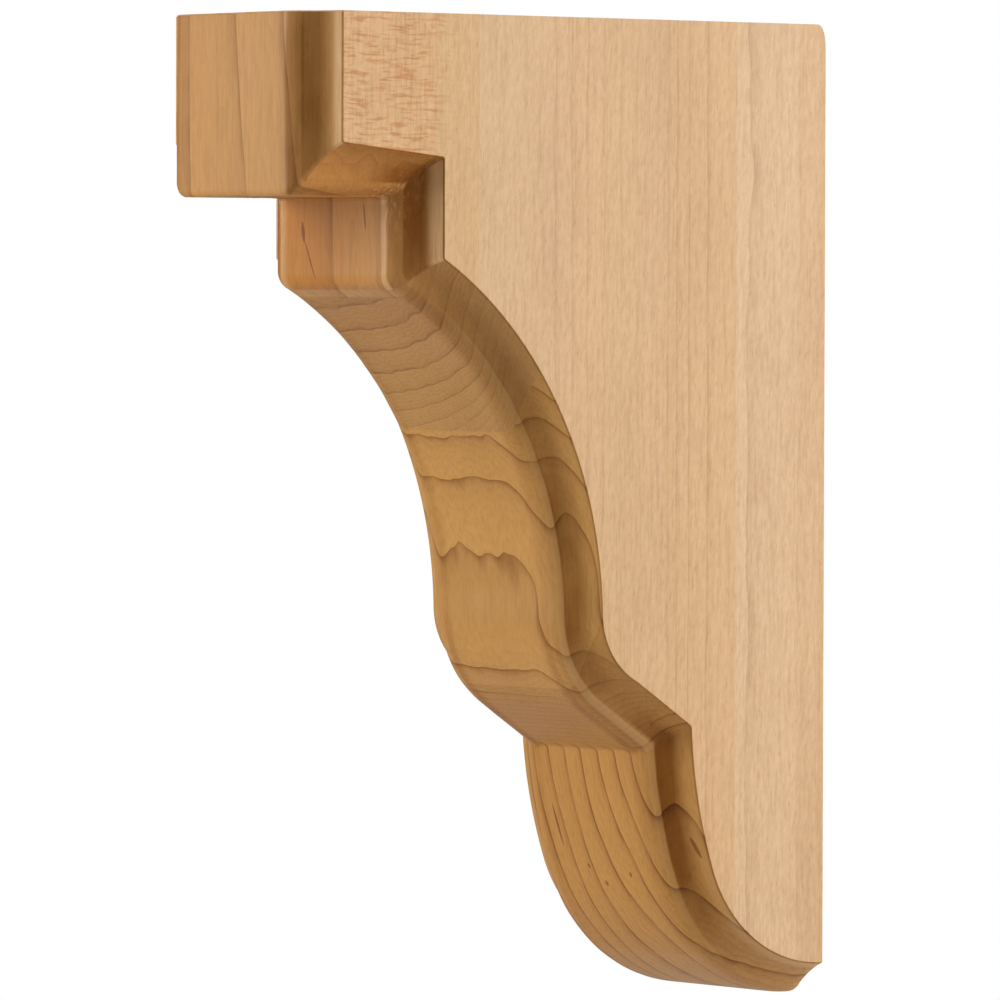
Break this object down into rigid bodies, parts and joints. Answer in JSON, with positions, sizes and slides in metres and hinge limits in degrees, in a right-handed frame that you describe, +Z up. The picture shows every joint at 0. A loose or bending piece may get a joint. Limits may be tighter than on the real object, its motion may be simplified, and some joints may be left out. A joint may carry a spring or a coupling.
{
  "type": "wooden corbel bracket",
  "caption": "Solid maple corbel bracket with a stepped top, an ogee front and a coved and beaded edge, fixed flat to a wall to carry a shelf or worktop.",
  "frame": {"origin": "the middle of the flat back face, where it meets the wall", "axes": "+X across the width, -Y out from the wall to the front, +Z up"},
  "size_m": [0.0826, 0.2032, 0.3048],
  "materials": {
    "maple": "clear satin lacquer over bare maple"
  },
  "bodies": {
    "root": {"corbel": "maple"}
  },
  "joints": []
}
